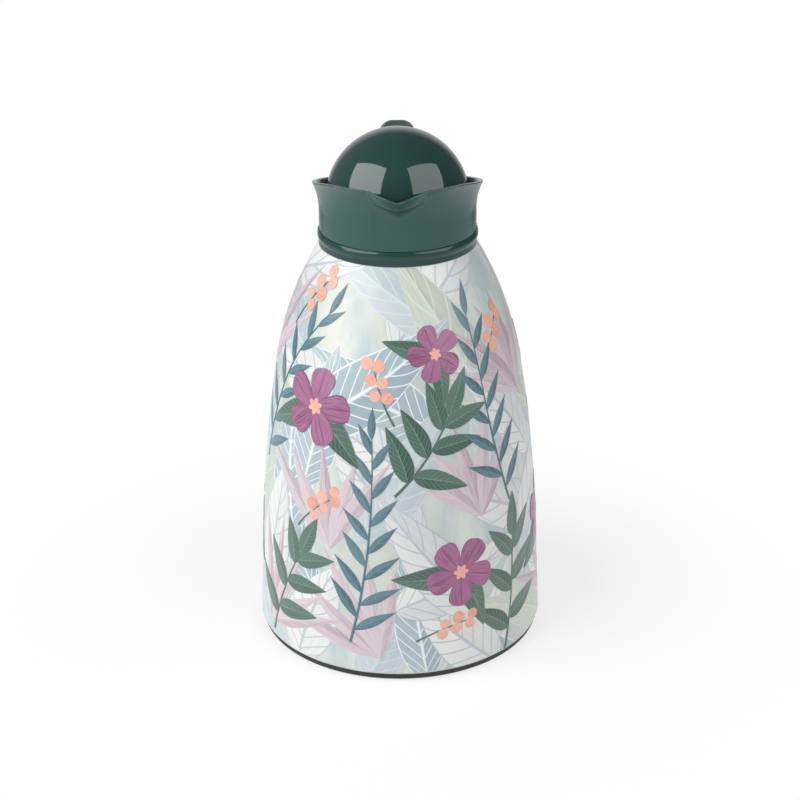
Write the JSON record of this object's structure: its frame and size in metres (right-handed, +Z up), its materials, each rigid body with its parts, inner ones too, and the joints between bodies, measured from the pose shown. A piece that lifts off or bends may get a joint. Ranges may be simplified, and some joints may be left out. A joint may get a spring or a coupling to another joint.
{
  "type": "vacuum jug",
  "caption": "Bell-shaped vacuum jug: printed shell, glass flask inside, flared collar with a pinched pouring lip, ball lid tipped back by a thumb lever, rear handle.",
  "frame": {"origin": "on the jug's axis, on the plane it stands on", "axes": "+Z up along the jug's axis, -Y towards the pouring lip, +Y towards the handle"},
  "size_m": [0.1435, 0.1738, 0.2555],
  "materials": {
    "printed_shell": "glossy printed plastic, pale ground with a botanical pattern",
    "green_gloss": "high gloss dark green",
    "green_satin": "satin gloss dark green",
    "dark_base": "fine matte black",
    "black_rubber": "matte",
    "silicone": "translucent white, matte",
    "silvered_glass": "silvered from inside",
    "clear_glass": "clear",
    "steel": "bright drawn wire and screws",
    "inner_plastic": "natural white, satin",
    "foam": "fine-celled foam"
  },
  "bodies": {
    "jug": {"body_shell": "printed_shell", "base_cap": "dark_base", "foot_ring": "black_rubber", "liner_cushion": "black_rubber", "outer_flask": "silvered_glass", "inner_flask": "clear_glass", "neck_seal": "silicone", "neck_ring": "green_gloss", "pour_collar": "green_satin", "hinge_pin": "steel", "hinge_spring": "steel", "handle_shell": "green_gloss", "handle_cover": "green_satin", "handle_screws": "steel", "handle_foot_screw": "steel"},
    "lid": {"lid_dome": "green_gloss", "lid_base": "inner_plastic", "lid_foam": "foam", "stopper": "inner_plastic", "stopper_foam": "foam", "stopper_seal": "silicone", "stopper_screw": "steel", "thumb_lever": "green_gloss", "lever_screws": "steel"}
  },
  "joints": [
    {"name": "lid_hinge", "type": "hinge", "parent": "jug", "child": "lid", "pos_m": [0, 0.04346, 0.2257], "axis": [-1, 0, 0], "range_deg": [0, 85], "stiffness_Nm_per_rad": 0.012, "springref_deg": -34.38, "deforming": ["hinge_spring"]}
  ]
}
